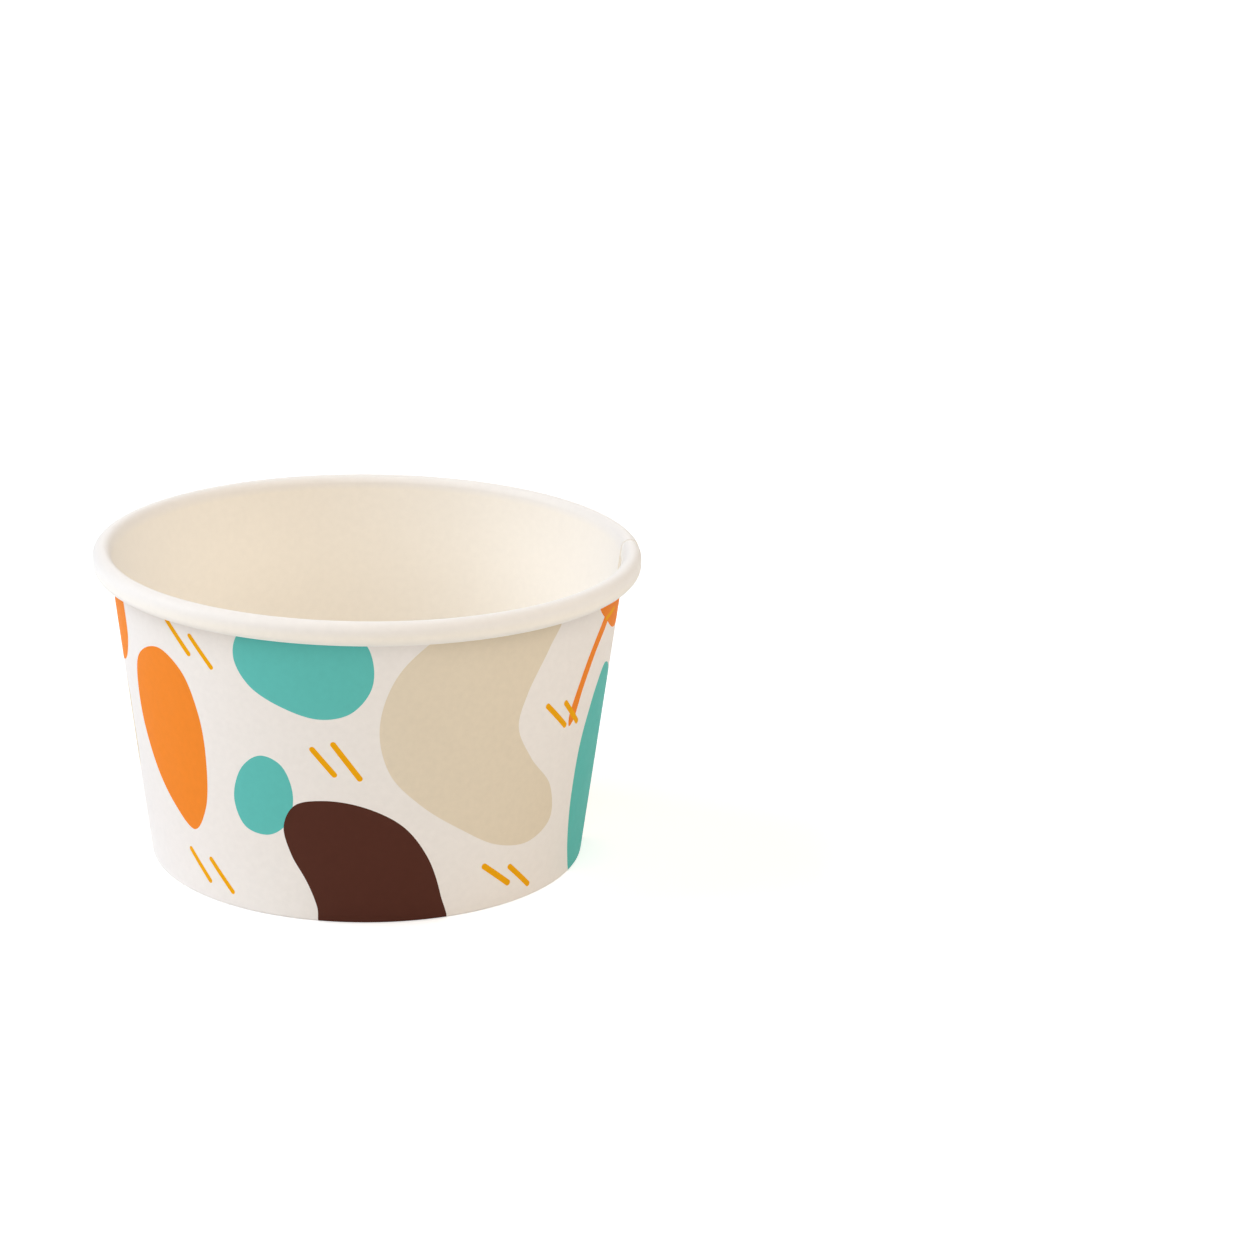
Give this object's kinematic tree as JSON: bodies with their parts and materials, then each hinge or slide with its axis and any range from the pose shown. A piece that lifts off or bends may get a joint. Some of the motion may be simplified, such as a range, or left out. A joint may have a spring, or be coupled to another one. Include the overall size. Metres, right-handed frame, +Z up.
{
  "type": "paper dessert cup",
  "caption": "Tapered paper cup for ice cream or dessert, with a hollow rolled rim, a lapped side seam, a raised base panel in its folded foot and a print of rounded colour fields.",
  "frame": {"origin": "centre of the cup on the plane of its foot", "axes": "+Z up along the cup's axis towards the open mouth; the side seam's crease faces 3 degrees from +X towards +Y"},
  "size_m": [0.095, 0.095, 0.0555],
  "materials": {
    "printed_board": "smooth coated white paperboard, satin, printed outside with flat orange, teal, beige, brown and yellow",
    "base_board": "smooth coated white paperboard, satin, unprinted"
  },
  "bodies": {
    "root": {"side_wall": "printed_board", "base_panel": "base_board"}
  },
  "joints": []
}
